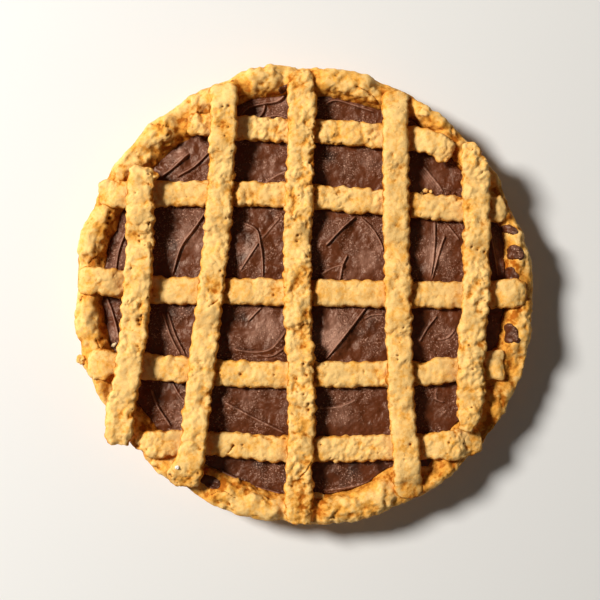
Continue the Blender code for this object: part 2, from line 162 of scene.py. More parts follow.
# Hollows and cracks in the rim. A hollow is a place, its radius and its depth, and a crack is the
# places that it runs through.
RIM_HOLLOWS = [
    (-61.4, 90.4, 2.6, 1.5), (-57.8, 91.5, 2.6, 1.9), (-54.2, 92.5, 2.2, 1.3), (-101.2, 42.2, 1.2, 1.2),
    (-101.2, 39.1, 1.5, 1.6), (-101.9, 36.5, 1.2, 1.2), (-116.4, -3.0, 1.3, 1.2),
    (-103.5, -40.3, 1.6, 1.6), (56.3, 90.4, 3.2, 1.8), (-79.1, 74.4, 2.4, 1.0), (-72.3, 78.0, 2.2, 0.9),
    (-49.0, -97.9, 2.4, 1.2), (-44.8, -100.0, 2.0, 1.0), (-92.1, 37.0, 1.5, 1.0), (-106.6, 16.2, 1.6, 0.8),
    (99.9, 53.6, 3.0, 1.0), (101.5, -55.4, 4.0, 0.8), (97.3, -64.7, 4.0, 0.8), (68.3, -91.7, 3.0, 1.2),
    (-30.3, 106.5, 2.6, 1.2), (-22.0, 109.1, 1.6, 0.9), (29.9, 102.4, 2.0, 0.8), (-76.5, -90.6, 1.6, 1.0),
    (-61.4, -91.7, 1.2, 0.8), (18.5, -109.8, 2.0, 0.8), (107.7, -47.6, 3.0, 0.7),
]
RIM_CRACKS = [
    [(-109.2, 50.5), (-104.5, 50.0), (-100.6, 48.9)],
    [(-112.3, 15.7), (-109.2, 17.8), (-106.6, 18.6), (-103.0, 13.9)],
    [(-118.0, -2.2), (-112.3, -0.9), (-107.1, 0.2), (-100.6, -0.9)],
    [(-106.1, -37.7), (-103.0, -40.3), (-101.9, -43.9)], [(-90.5, 85.8), (-80.1, 88.9), (-70.8, 86.8)],
    [(-108.1, -24.2), (-105.5, -30.4), (-107.1, -35.6)], [(78.1, 70.2), (81.8, 67.1), (83.8, 62.9)],
    [(-50.0, -105.2), (-42.8, -102.0), (-35.5, -105.7)], [(26.8, 107.6), (34.0, 104.5), (39.2, 99.8)],
]
# Where the rim is browner than elsewhere: oven browning, and on the low slope at the lower right painted
# shade as well; a place, its radius and how much.
RIM_BROWN_AND_SHADE_PLACES = [
    (-48.3, -103.5, 5.0, 0.9), (7.8, -112.8, 5.0, 0.9), (108.0, -12.2, 3.0, 0.9), (60.2, 78.2, 5.0, 0.8),
    (-82.8, -81.1, 4.0, 0.8), (-58.0, 89.8, 3.6, 0.9), (8.3, -106.1, 3.5, 0.7), (-64.8, 86.4, 4.0, 0.8),
    (109.1, 15.7, 3.5, 0.6), (98.1, 43.0, 4.0, 0.7), (98.5, -58.5, 5.0, 0.7), (99.7, -0.2, 6.0, 0.6),
    (-42.3, -99.3, 3.0, 0.7), (-74.0, 71.0, 4.0, 0.5), (-105.0, -6.0, 4.0, 0.5), (96.0, -70.0, 5.0, 0.6),
    (101.0, -46.0, 7.0, 0.6), (88.0, -75.0, 6.0, 0.5), (74.0, -86.0, 6.0, 0.6), (62.0, -97.0, 5.0, 0.5),
    (108.0, -36.0, 5.0, 0.4), (-111.0, -34.6, 4.0, 0.6), (-93.0, 43.4, 3.0, 0.7), (67.0, 75.6, 3.5, 0.5),
    (105.5, -28.0, 3.5, 0.6), (95.5, -36.9, 4.0, 0.6), (-103.0, 30.0, 4.0, 0.4), (-35.0, 101.0, 4.0, 0.5),
]

# Where a strip's end has baked into the rim: a place on the end, and how far round it the rim
# rises to meet its top.
FUSED_ENDS = [
    (-42.7, 104.0, 9.5), (-0.7, 112.0, 8.0), (45.4, 102.0, 7.0), (-55.5, 86.0, 8.0), (-97.0, 52.5, 9.0),
    (-80.0, 63.0, 9.0), (-2.0, -112.0, 7.0), (83.0, -75.0, 9.0), (52.6, -99.5, 7.0), (-62.0, -95.0, 6.0),
]


class Field:
    """A value or colour that changes over a surface: a shader socket on which sums can be done."""

    def __init__(self, tree, socket=None):
        self.tree = tree
        self.socket = socket

    def node(self, kind, settings=None, sockets=None, output=0):
        """Any other node: its type, its settings, its sockets' values or fields, and its output."""
        made = self.tree.nodes.new("ShaderNode" + kind)
        for name, value in (settings or {}).items():
            setattr(made, name, value)
        for name, value in (sockets or {}).items():
            if isinstance(value, Field):
                self.tree.links.new(value.socket, made.inputs[name])
            else:
                made.inputs[name].default_value = value
        return Field(self.tree, made.outputs[output])

    def sum(self, operation, *values):
        """One step of arithmetic on fields and numbers."""
        return self.node("Math", {"operation": operation}, dict(enumerate(values)))

    def __add__(self, other):
        return self.sum("ADD", self, other)

    def __sub__(self, other):
        return self.sum("SUBTRACT", self, other)

    def __rsub__(self, other):
        return self.sum("SUBTRACT", other, self)

    def __mul__(self, other):
        return self.sum("MULTIPLY", self, other)

    __radd__ = __add__
    __rmul__ = __mul__

    def between(self, low, high):
        """0 up to low, 1 from high on, and a smooth rise between them."""
        return self.node(
            "MapRange", {"interpolation_type": "SMOOTHSTEP"},
            {"Value": self, "From Min": low, "From Max": high},
        )

    def noise(self, size, detail=2.0, roughness=0.5):
        """Noise from 0 to 1 whose patches are about this many millimetres across."""
        return self.node(
            "TexNoise", {}, {"Vector": self, "Scale": 1 / (size * MM), "Detail": detail,
                             "Roughness": roughness},
        )

    def blend(self, first, second):
        """The first colour where this is 0, and the second where it is 1."""
        return self.node("Mix", {"data_type": "RGBA"}, {0: self, 6: first, 7: second}, 2)


def new_finish(name):
    """A material, its shader, and a field with each point's place on the object."""
    material = bpy.data.materials.new(name)
    material.use_nodes = True
    shader = material.node_tree.nodes["Principled BSDF"]
    place = Field(material.node_tree).node("TexCoord", output="Object")
    return material, shader, place


def feed(shader, name, field):
    """Links a field to the shader's socket of this name."""
    shader.id_data.links.new(field.socket, shader.inputs[name])


def baked_dough(name, pale_share):
    """Baked shortcrust. The mesh says where painted shade darkens its pits, and where it is browner: from
    the oven, and from painted shade in its creases, corners and shaded slopes.
    """
    material, shader, place = new_finish(name)
    browning_and_shade = place.node("Attribute", {"attribute_name": "browning_and_shade"}, output="Fac")
    pit_shade = place.node("Attribute", {"attribute_name": "pit_shade"}, output="Fac")
    patches = place.noise(9.0, 3.0).between(0.4, 0.62)
    mottles = place.noise(3.4, 2.0).between(0.45, 0.64)
    grains = place.noise(1.5, 3.0, 0.6).between(0.42, 0.66)
    specks = place.noise(0.6, 2.0).between(0.6, 0.72)
    gold = patches * 0.35 + mottles * 0.25 + grains * 0.3 + browning_and_shade * 0.8 - pale_share
    colour = gold.between(0.0, 1.0).blend(DOUGH_PALE, DOUGH_GOLD)
    brown = browning_and_shade * (0.55 + mottles * 0.7) + grains * 0.25 - 0.12
    colour = brown.between(0.05, 1.1).blend(colour, DOUGH_BROWN)
    colour = (specks * 0.3).blend(colour, DOUGH_BROWN)
    colour = pit_shade.between(0.1, 0.9).blend(colour, DOUGH_PIT_SHADE)
    feed(shader, "Base Color", colour)
    feed(shader, "Roughness", 0.6 + grains * 0.15)
    shader.inputs["Specular IOR Level"].default_value = 0.2
    shader.inputs["Specular Tint"].default_value = DOUGH_SHEEN
    grain_height = place.noise(0.8, 4.0, 0.65) + place.noise(0.32, 2.0) * 0.4
    feed(shader, "Normal", place.node(
        "Bump", {}, {"Height": grain_height, "Strength": 1.0, "Distance": DOUGH_GRAIN_DEPTH * MM}
    ))
    return material


def only(piece):
    """Selects this piece and nothing else."""
    bpy.ops.object.select_all(action="DESELECT")
    piece.select_set(True)
    bpy.context.view_layer.objects.active = piece


def merged_copy(node, name):
    """A piece that starts as a copy of a solid, its loose triangles merged into quads."""
    piece = bpy.data.objects.new(name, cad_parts[node].data.copy())
    bpy.context.scene.collection.objects.link(piece)
    piece.data.materials.clear()
    only(piece)
    bpy.ops.object.mode_set(mode="EDIT")
    bpy.ops.mesh.select_all(action="SELECT")
    bpy.ops.mesh.remove_doubles(threshold=MERGE_DISTANCE)
    bpy.ops.mesh.mark_sharp(clear=True)
    bpy.ops.mesh.tris_convert_to_quads(face_threshold=QUAD_BEND, shape_threshold=QUAD_BEND)
    bpy.ops.object.mode_set(mode="OBJECT")
    return piece


def subdivide_smoothly(piece, kind, levels):
    """Cuts every face in four a few times, keeping its flat shape or rounding it."""
    only(piece)
    cut = piece.modifiers.new("cut", "SUBSURF")
    cut.subdivision_type = kind
    cut.levels = cut.render_levels = levels
    bpy.ops.object.modifier_apply(modifier=cut.name)


def corners_and_normals(mesh):
    """The mesh's corners in millimetres, and its normals, as arrays."""
    corners = np.empty(len(mesh.vertices) * 3, np.float32)
    mesh.vertices.foreach_get("co", corners)
    normals = np.empty(len(mesh.vertices) * 3, np.float32)
    mesh.vertex_normals.foreach_get("vector", normals)
    return corners.reshape(-1, 3).astype(float) / MM, normals.reshape(-1, 3).astype(float)


def put_corners(mesh, corners):
    """Moves the mesh's corners to these places, given in millimetres."""
    mesh.vertices.foreach_set("co", (corners * MM).astype(np.float32).ravel())
    mesh.update()


def note(mesh, name, values):
    """Writes a share from 0 to 1 at every corner of the mesh, for its finish to read by name."""
    layer = mesh.attributes.new(name, "FLOAT", "POINT")
    layer.data.foreach_set("value", np.clip(values, 0.0, 1.0).astype(np.float32))


def rise(low, high, value):
    """0 up to low, 1 from high on, and a smooth S between them."""
    share = np.clip((value - low) / (high - low), 0.0, 1.0)
    return share * share * (3 - 2 * share)


def spot(corners, x, y, radius):
    """1 at a place and ever less round it, down to about a third at this radius."""
    return np.exp(-((np.hypot(corners[:, 0] - x, corners[:, 1] - y) / radius) ** 2))


noise.seed_set(PIT_SEED)


def pits(point, spacing, smallest, largest):
    """How deep a point lies in the nearest of the round pits that are strewn over the dough."""
    warped = point + 0.22 * spacing * noise.noise_vector(point / (0.45 * spacing))
    distances, centres = noise.voronoi(warped / spacing)
    luck = noise.cell(centres[0] * 7.3) ** 2
    return max(0.0, 1 - distances[0] * spacing / (smallest + (largest - smallest) * luck))


def baked_relief(point, roughness):
    """How far baked dough stands out at a point, and how deep in a pit it lies."""
    craggy = min(1.0, max(0.0, roughness - 0.5 + 1.3 * noise.noise(point / CRAG_PATCHES)))
    broad = noise.noise(point / BROAD_SIZE)
    folds = noise.turbulence(point / FOLD_SIZE, 2, True, amplitude_scale=0.45) - 0.34
    lumps = noise.noise(point / LUMP_SIZE)
    knobs = noise.noise(point / KNOB_SIZE)
    large = pits(point, *LARGE_PITS)
    small = pits(point, *SMALL_PITS)
    fine = (0.5 + 0.8 * craggy) * (1.25 * folds + 0.72 * lumps + 0.26 * knobs)
    height = (0.4 + 0.6 * roughness) * (0.95 * broad + fine)
    height -= (0.4 + 0.7 * craggy) * (0.9 * large ** 0.6 + 0.5 * small ** 0.7)
    return height, min(1.0, (0.5 + 0.5 * craggy) * (1.2 * large + 0.7 * small))


def along_curve(points, steps=5):
    """Points close together along a smooth curve through the given ones."""
    knots = [np.array(p, float) for p in points]
    knots = [2 * knots[0] - knots[1], *knots, 2 * knots[-1] - knots[-2]]
    line = []
    for a, b, c, d in zip(knots, knots[1:], knots[2:], knots[3:]):
        for step in range(steps):
            t = step / steps
            line.append(0.5 * (2 * b + (c - a) * t + (2 * a - 5 * b + 4 * c - d) * t * t
                               + (3 * b - a - 3 * c + d) * t ** 3))
    return line + [knots[-2]]


def beside_curve(places, points):
    """For each place, how far it stands to the left of the curve and its share along it."""
    line = along_curve(points)
    nearest = np.full(len(places), np.inf)
    side = np.zeros(len(places))
    share = np.zeros(len(places))
    for index, (a, b) in enumerate(zip(line, line[1:])):
        step = b - a
        length = np.hypot(*step)
        away = places - a
        along = np.clip(away @ step / length ** 2, 0.0, 1.0)
        gap = away - along[:, None] * step
        distance = np.hypot(gap[:, 0], gap[:, 1])
        closer = distance < nearest
        nearest = np.where(closer, distance, nearest)
        leftness = np.sign(step[0] * away[:, 1] - step[1] * away[:, 0])
        side = np.where(closer, leftness * distance, side)
        share = np.where(closer, (index + along) / (len(line) - 1), share)
    return side, share


def in_hollows(places, hollows, cracks):
    """How deep each place lies in the named hollows and cracks, and how much painted shade it gets there.
    """
    depth = np.zeros(len(places))
    dark = np.zeros(len(places))
    for x, y, radius, drop in hollows:
        inside = spot(places, x, y, radius)
        depth += drop * inside
        dark = np.maximum(dark, inside ** 2 * min(1.0, 1.1 * drop / radius))
    for points in cracks:
        side, share = beside_curve(places, points)
        wander = CRACK_WIDTH * (0.6 + 0.4 * np.sin(9 * places[:, 0]) * np.sin(7 * places[:, 1]))
        inside = np.exp(-((side / wander) ** 2))
        depth += CRACK_DEPTH * inside
        dark = np.maximum(dark, 0.8 * inside ** 2)
    return depth, dark


def beside_others(corners, others):
    """How far each place is from the nearest other piece, and whether that lies to its left."""
    gaps = np.full(len(corners), FAR_AWAY)
    to_left = np.zeros(len(corners))
    for other in others:
        tree = BVHTree.FromPolygons(
            [v.co / MM for v in other.data.vertices], [p.vertices for p in other.data.polygons]
        )
        found = [tree.find_nearest(Vector(c), FAR_AWAY) for c in corners]
        distance = np.array([FAR_AWAY if hit[3] is None else hit[3] for hit in found])
        step = np.array([
            0.0 if hit[3] is None else corner[0] - hit[0].x for hit, corner in zip(found, corners)
        ])
        to_left = np.where(distance < gaps, rise(-0.2, 0.5, step), to_left)
        gaps = np.minimum(gaps, distance)
    return gaps, to_left


def up_to_fused_ends(corners, strips):
    """How far each place lies under the tops of the fused ends beside it."""
    lift = np.zeros(len(corners))
    for x, y, reach in FUSED_ENDS:
        above = Vector((x * MM, y * MM, LOOK_FROM))
        hits = [strip.ray_cast(above, Vector((0, 0, -1))) for strip in strips]
        top = max([hit[1].z / MM for hit in hits if hit[0]], default=0.0)
        distance = np.hypot(corners[:, 0] - x, corners[:, 1] - y)
        share = np.exp(-((distance / reach) ** 4))
        lift = np.maximum(lift, share * (top - SINK_OF_ENDS - corners[:, 2]))
    return lift


def roughen(piece, roughness, seed, browning_and_shade_at, marks, others, fillet, fillet_reach):
    """Moves every corner out by the baked relief, and notes the painted shade in its pits and where it is
    browner, from the oven and from painted shade.
    """
    mesh = piece.data
    corners, normals = corners_and_normals(mesh)
    offset = Vector((0.0, 0.0, 31.0 * seed))
    relief = np.array([baked_relief(Vector(c) + offset, roughness) for c in corners])
    hollows, cracks, brown_and_shade_places = marks
    depth, dark = in_hollows(corners[:, :2], hollows, cracks)
    on_top = rise(0.1, 0.6, normals[:, 2])
    steep = rise(0.5, 0.2, normals[:, 2])
    outermost = rise(*TIN_BAND, np.hypot(corners[:, 0], corners[:, 1]))
    against_tin = steep * outermost * rise(*TIN_TOP, corners[:, 2])
    height = relief[:, 0] * (1 - 0.6 * against_tin) - on_top * depth
    gaps, to_left = beside_others(corners, others)
    run = fillet * np.exp(-((gaps / fillet_reach) ** 2))
    move = np.where(corners[:, 2] < UNDERSIDE_HEIGHT, 0.0, height + GAP_FILL + run)
    corners += normals * move[:, None]
    corners[:, 2] = np.maximum(corners[:, 2], 0.0)
    put_corners(mesh, corners)
    browning_and_shade = browning_and_shade_at(corners, normals, height)
    # Painted shadow: the corner is much darker where the strip lies to its left, away from the lamp.
    browning_and_shade += np.exp(-((gaps / CORNER_BROWNING_AND_SHADOW) ** 2)) * (0.15 + 0.85 * to_left)
    for x, y, radius, share in brown_and_shade_places:
        browning_and_shade += share * spot(corners, x, y, radius)
    # Painted shade in the pits, and on top in the named hollows and cracks.
    note(mesh, "pit_shade", np.maximum(relief[:, 1] * (1 - 0.5 * against_tin), on_top * dark))
    note(mesh, "browning_and_shade", browning_and_shade)
    only(piece)
    bpy.ops.object.shade_smooth()


def case_browning_and_shade(corners, normals, relief):
    """Brown on the steep wall; brown and partly painted shade on the slope down to the filling; painted
    shade down in the creases.
    """
    from_centre = np.hypot(corners[:, 0], corners[:, 1])
    inward = rise(*SLOPE_BAND, from_centre) * rise(*SLOPE_HEIGHT, corners[:, 2])
    wall = 0.5 * rise(0.5, 0.0, normals[:, 2])
    creases = 0.8 * rise(0.3, -1.3, relief)
    return np.clip(0.75 * inward + wall + creases, 0.0, 1.0)


case = merged_copy("crust_case", "baked_case")
only(case)
bpy.ops.object.mode_set(mode="EDIT")
bpy.ops.mesh.select_all(action="SELECT")
bpy.ops.mesh.dissolve_limited(angle_limit=FLAT_ENOUGH)
bpy.ops.object.mode_set(mode="OBJECT")
subdivide_smoothly(case, "SIMPLE", 1)
subdivide_smoothly(case, "CATMULL_CLARK", 2)
strip_nodes = [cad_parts[name] for name in sorted(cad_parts) if "strip" in name]
corners, normals = corners_and_normals(case.data)
from_centre = np.hypot(corners[:, 0], corners[:, 1])
rim_top = rise(*RIM_TOP_HEIGHT, corners[:, 2]) * rise(*RIM_TOP_BAND, from_centre)
corners[:, 2] += rim_top * up_to_fused_ends(corners, strip_nodes)
put_corners(case.data, corners)
rim_marks = (RIM_HOLLOWS, RIM_CRACKS, RIM_BROWN_AND_SHADE_PLACES)
roughen(case, CASE_ROUGHNESS, 0, case_browning_and_shade, rim_marks, strip_nodes, FILLET, FILLET_REACH)
case.data.materials.append(baked_dough("baked_case", CASE_PALE_SHARE))
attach(case, "root")
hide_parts("crust_case")


# The filling: a stiff chocolate hazelnut spread, laid on with a spatula and never levelled. Its
# strokes left smooth fields with thin folds, creases and fine lines between them. It is a copy
# of its solid whose top is cut fine and then lifted and dropped along the strokes.
SPREAD_BROWN = (0.125, 0.030, 0.008, 1.0)
# SPREAD_DARK is the colour of painted shade in creases and shaded places.
SPREAD_DARK = (0.035, 0.007, 0.002, 1.0)
# The colour of painted sheen on crests and lobes.
SPREAD_PAINTED_SHEEN = (0.38, 0.185, 0.12, 1.0)
# The colour of painted glints on the bubbly patches.
SPREAD_PAINTED_GLINT = (0.60, 0.33, 0.22, 1.0)
SPREAD_SHEEN = (1.0, 0.78, 0.62, 1.0)
# The bare faces are cut again and again, and at last once more beside the folds: how many cuts,
# and whether only beside the folds.
SPREAD_CUTS = ((1, False), (1, False), (2, False), (1, True))
LINE_SPACING = 1.12  # between the fine lines beside a fold
FOLD_BAND = 0.9  # how far from a crest the faces are cut once more
COMB_SPACING = 1.4
SPREAD_WAVES = [(5.0, 0.6), (2.2, 0.26), (1.1, 0.1)]  # the size and height of its soft lumps
SPREAD_GRAIN_DEPTH = 0.35

# Each fold: the points of its crest in millimetres, its height, how wide its high side is, and how
# many fine lines follow it. The high side is on the left as the crest is followed.
FOLDS = [
    # second row of cells
    ([(-21.5, 6), (-21.8, 19), (-22.9, 26.3), (-25, 33.8), (-33, 38)], 1.2, 3.5, 1),
    ([(-34, 11), (-28.5, 19.5), (-23.5, 27)], 0.9, 3.0, 0),
    ([(-12.8, 40.2), (-17.5, 35), (-22.4, 29)], 0.7, 2.0, 1),
    ([(11.2, 24.8), (14.3, 28), (19.7, 33.8), (28.2, 41.3)], 1.5, 4.5, 1),
    ([(41.5, 22), (40.4, 26.3), (35.7, 34.3), (29.3, 40.4)], 0.9, 2.0, 3),
    ([(20.8, 15.7), (14.3, 13.6), (8, 9.9)], 1.3, 3.0, 0),
    ([(18.6, 6), (20.2, 14.7), (22.9, 20.5)], 1.1, 2.0, 1),
    ([(-69.4, 8), (-64.6, 23.6), (-57.7, 33.7), (-50, 45)], 1.3, 4.5, 1),
    ([(66, 7), (68.2, 23), (68.8, 39)], 1.0, 2.5, 2),
    ([(66.5, 6), (70.9, 22), (74, 31)], 0.9, 2.2, 1),
    ([(81.5, 28), (75.2, 36.3)], 0.8, 2.0, 0),
    ([(-98.8, 10), (-97.2, 22), (-93, 33)], 1.3, 3.0, 1),
    ([(-94, 12), (-91, 20)], 0.9, 2.0, 1),
    ([(97, 33), (99, 22), (101.3, 8)], 0.9, 2.0, 2),
    # third row of cells
    ([(10, -36), (21.6, -21.6), (27.4, -14.1), (34.5, -4.5)], 1.5, 4.5, 3),
    ([(42, -10.5), (36, -10.8), (31, -13)], 1.0, 2.2, 1),
    ([(-9, -18), (-13.4, -24.3), (-18.7, -29.1), (-27.3, -30.2), (-38, -28.5)], 1.5, 4.5, 0),
    ([(-9, -26.5), (-13, -30), (-17.7, -32.4), (-24.6, -31.9)], 0.9, 1.6, 1),
    ([(-29.4, -14.7), (-26, -11), (-22, -7)], 0.8, 2.2, 2),
    ([(-64, -33), (-69.9, -21.6), (-74.1, -9)], 1.2, 2.0, 1),
    ([(-61.5, -33), (-67.3, -21.6), (-71.5, -9)], 1.1, 2.0, 1),
    ([(59.9, -26), (64.5, -18), (70, -11)], 0.9, 2.2, 1),
    ([(79, -18), (75, -22.5), (70, -24)], 0.8, 2.0, 1),
    ([(-96.5, -25), (-99.5, -12), (-103.6, -1)], 1.2, 2.6, 0),
    # fourth row of cells
    ([(-69, -70), (-76.2, -58.8), (-80, -49)], 1.3, 4.0, 0),
    ([(-62, -56.5), (-65.5, -52), (-69, -46)], 0.8, 2.0, 1),
    ([(-9, -73), (-18.5, -68.3), (-28.1, -63.5), (-43, -55.5)], 1.1, 4.0, 0),
    ([(27.5, -54.6), (18.7, -58.7), (9, -59.3)], 1.0, 3.0, 0),
    ([(68.9, -49), (68.3, -55), (73.1, -57.2)], 0.9, 2.0, 0),
    # first row of cells, and the slivers beside the rim
    ([(-76, 60.5), (-68, 66.5), (-60, 74)], 1.6, 2.6, 1),
    ([(-67, 61), (-58, 66.5), (-48, 76)], 1.4, 2.2, 1),
    ([(-9, 65), (-15.1, 61.9), (-22, 57.5)], 1.1, 3.2, 0),
    ([(73.5, 53), (68.5, 60), (62, 68)], 0.6, 3.0, 3),
    ([(-34, 92), (-29.5, 97.5), (-22, 99.5), (-13, 101.5), (-8, 108)], 1.5, 2.6, 1),
    ([(-25, 91), (-21.5, 95.5), (-20.5, 99.5)], 1.2, 1.8, 0),
    ([(-20.5, 92.5), (-14, 93.5), (-8, 91.5)], 1.0, 2.4, 1),
    ([(9, 98), (16, 101.5), (26, 99), (38, 95)], 1.2, 2.0, 2),
    ([(-10, -104.5), (-28.1, -99.2), (-46, -91)], 1.3, 3.0, 1),
    ([(38, -96.2), (25.1, -100.2), (9, -102.6)], 0.8, 1.6, 2),
]
# Where painted sheen makes the spread paler, and where painted shade makes it darkest: place, radius and
# how much.
SHEEN_PLACES = [
    (-20.1, -16.9, 6.5, 0.8), (-28.0, -22.0, 5.0, 0.4), (33.0, 17.5, 7.5, 0.6),
    (69.0, 20.0, 6.5, 0.6), (22.9, 9.7, 3.5, 0.5), (-102.4, -19.7, 4.5, 0.5), (-66.3, 76.0, 6.5, 0.6),
    (-105.5, -6.0, 3.0, 0.5), (13.0, -23.0, 6.5, 0.9), (16.0, -13.0, 5.0, 0.5),
    (-59.0, 28.0, 6.5, 0.5), (-18.0, 66.0, 6.0, 0.4), (-99.0, 38.0, 5.0, 0.4), (34.0, 70.0, 6.0, 0.4),
    (67.0, 61.0, 5.0, 0.4), (-12.7, 102.0, 4.0, 0.6), (-30.0, 22.0, 5.0, 0.3), (20.0, -64.0, 7.0, 0.4),
    (-66.0, -64.0, 5.0, 0.4), (-30.0, -55.0, 5.0, 0.4), (74.0, -20.0, 4.0, 0.4),
]
SHADE_PLACES = [
    (-30.5, 31.0, 3.5, 0.9), (-32.0, 19.6, 3.0, 0.9), (96.5, -1.0, 3.5, 0.8), (-68.8, -48.0, 3.5, 0.8),
    (39.5, -90.5, 4.5, 0.7), (-23.5, -89.0, 4.5, 0.7), (93.0, -36.0, 3.5, 0.8), (-60.0, -8.5, 4.5, 0.7),
    (24.9, -91.0, 5.0, 0.7), (15.8, -94.0, 5.0, 0.7), (-17.0, 41.0, 3.0, 0.6), (-68.7, -9.7, 3.0, 0.7),
    (56.0, -41.0, 3.0, 0.7), (-32.0, -12.6, 3.0, 0.7), (-69.0, 25.5, 4.5, 0.6), (-69.0, 16.0, 4.0, 0.6),
    (35.0, -14.5, 5.5, 0.6), (28.5, -22.0, 4.5, 0.5), (13.0, 72.0, 3.5, 0.6), (61.0, 13.5, 3.0, 0.6),
    (-63.0, -49.0, 3.0, 0.6), (-88.6, -72.3, 3.0, 0.7), (60.0, -92.0, 3.5, 0.8), (12.0, 102.5, 3.5, 0.8),
    (-44.6, -95.3, 3.0, 0.8), (-10.0, -92.0, 5.0, 0.5), (-36.0, -88.0, 5.0, 0.5),
]
COMBED = (-30.0, -70.0, 15.0)  # a place where the spatula's edge left close parallel lines
# Small round lumps in the spread: a place, its radius and its height.
BLOBS = [
    (11, -16.3, 1.8, 0.9), (-38, -24.3, 2.2, 0.9), (-14.5, 69, 2.0, 0.8), (-20, 66, 1.6, 0.7),
    (-24, 68.5, 1.5, 0.6), (32, -20, 2.6, 0.8), (37, -24, 2.2, 0.8), (29, -27, 2.0, 0.7),
    (-59, -17, 1.8, 0.7), (-61, -12, 1.5, 0.6), (24, -62, 2.0, 0.7), (17, -66, 1.8, 0.7),
    (33, 12, 2.6, 0.7), (-13.5, 13, 1.6, 0.6), (67, -33, 1.7, 0.7), (75, -31, 1.4, 0.6),
]


def spread_relief(places):
    """The strokes' relief at each place, in millimetres, and how near a crest the place is."""
    height = np.zeros(len(places))
    crests = np.zeros(len(places))
    for points, lift, width, lines in FOLDS:
        side, share = beside_curve(places, points)
        fade = rise(0.0, 0.1, share) * (1 - rise(0.9, 1.0, share))
        high = np.exp(-np.maximum(side, 0.0) / width) * rise(-0.5, 0.1, side)
        crest = np.exp(-((side - 0.35) / 0.45) ** 2)
        trough = 0.2 * np.exp(-((side + 0.8) / 0.5) ** 2)
        height += 0.75 * lift * fade * (high + 0.35 * crest - trough)
        crests = np.maximum(crests, 0.7 * fade * crest)
        for line in range(1, lines + 1):
            groove = np.exp(-((side - LINE_SPACING * line) / 0.42) ** 2)
            height -= 0.28 * lift * fade * groove
            ridge = np.exp(-((side - LINE_SPACING * (line + 0.5)) / 0.4) ** 2)
            crests = np.maximum(crests, 0.4 * fade * ridge)
    for x, y, radius, lift in BLOBS:
        height += lift * spot(places, x, y, radius)
    x, y, radius = COMBED
    across = (places[:, 0] - x) * 0.5 + (places[:, 1] - y) * 0.87
    inside = rise(radius, 0.6 * radius, np.hypot(places[:, 0] - x, places[:, 1] - y))
    comb = np.sin(across * 2 * math.pi / COMB_SPACING)
    height += 0.1 * inside * rise(4.0, 0.0, across) * comb
    return height, crests


def beside_a_fold(places):
    """Whether each place lies close enough to a fold's crest to need finer faces."""
    close = np.zeros(len(places), bool)
    for fold in FOLDS:
        side, share = beside_curve(places, fold[0])
        close |= (np.abs(side) < FOLD_BAND) & (share > 0.05) & (share < 0.95)
    return close


def is_covered(x, y, strips):
    """Whether any strip lies over this place."""
    start = Vector((x * MM, y * MM, 0.0))
    return any(strip.ray_cast(start, Vector((0, 0, 1)))[0] for strip in strips)


def spread_finish():
    """The spread: dense and satin, with tiny bubbles and painted glints on them, painted sheen on its
    crests and lit lobes, and painted shade in its creases and shaded places.
    """
    material, shader, place = new_finish("chocolate_hazelnut")
    painted_shade = place.node("Attribute", {"attribute_name": "painted_shade"}, output="Fac")
    painted_sheen = place.node("Attribute", {"attribute_name": "painted_sheen"}, output="Fac")
    patches = place.noise(7.0, 3.0).between(0.3, 0.7)
    bubbly = place.noise(11.0, 2.0).between(0.42, 0.58)
    painted_glints = place.noise(0.9, 2.0, 0.6).between(0.57, 0.66)
    streaks = place.noise(2.4, 3.0, 0.6)
    colour = (patches * 0.4 + painted_shade * 0.8).between(0.1, 1.0).blend(SPREAD_BROWN, SPREAD_DARK)
    colour = (painted_sheen + streaks * 0.6 - 0.3).between(0.0, 1.0).blend(colour, SPREAD_PAINTED_SHEEN)
    feed(shader, "Base Color", (painted_glints * bubbly * 0.75).blend(colour, SPREAD_PAINTED_GLINT))
    feed(shader, "Roughness", 0.28 + place.noise(3.0, 3.0) * 0.2)
    shader.inputs["Specular IOR Level"].default_value = 0.55
    shader.inputs["Specular Tint"].default_value = SPREAD_SHEEN
    bubbles = place.node("TexVoronoi", {}, {"Vector": place, "Scale": 1 / (1.0 * MM)}, "Distance")
    height = bubbles.between(0.3, 0.0) * bubbly + place.noise(0.8, 3.0, 0.65) * (0.7 + bubbly)
    height = height + place.noise(2.2, 2.0) * 1.2
    feed(shader, "Normal", place.node(
        "Bump", {}, {"Height": height, "Strength": 0.9, "Distance": SPREAD_GRAIN_DEPTH * MM}
    ))
    return material


def select_faces(piece, wanted):
    """Goes into edit mode with just the faces of this piece selected that pass the test."""
    bpy.ops.object.mode_set(mode="EDIT")
    bpy.ops.mesh.select_all(action="DESELECT")
    bpy.ops.object.mode_set(mode="OBJECT")
    for face in piece.data.polygons:
        face.select = wanted(face)
    bpy.ops.object.mode_set(mode="EDIT")


filling = merged_copy("hazelnut_filling", "hazelnut_spread")
mesh = filling.data
only(filling)
bpy.ops.object.mode_set(mode="EDIT")
bpy.ops.mesh.select_all(action="SELECT")
bpy.ops.mesh.quads_convert_to_tris()
bpy.ops.object.mode_set(mode="OBJECT")
for cuts, beside_folds_only in SPREAD_CUTS:
    bare = np.array([not is_covered(v.co.x / MM, v.co.y / MM, strip_nodes) for v in mesh.vertices])
    if beside_folds_only:
        bare &= beside_a_fold(corners_and_normals(mesh)[0][:, :2])
    select_faces(
        filling, lambda face: face.normal.z > 0.6 and any(bare[i] for i in face.vertices)
    )
    bpy.ops.mesh.subdivide(number_cuts=cuts)
    bpy.ops.object.mode_set(mode="OBJECT")
corners, normals = corners_and_normals(mesh)
on_top = (normals[:, 2] > 0.5).astype(float)
strokes, crests = spread_relief(corners[:, :2])
fine = np.array([
    sum(height * noise.noise(Vector(c) / size) for size, height in SPREAD_WAVES) for c in corners
])
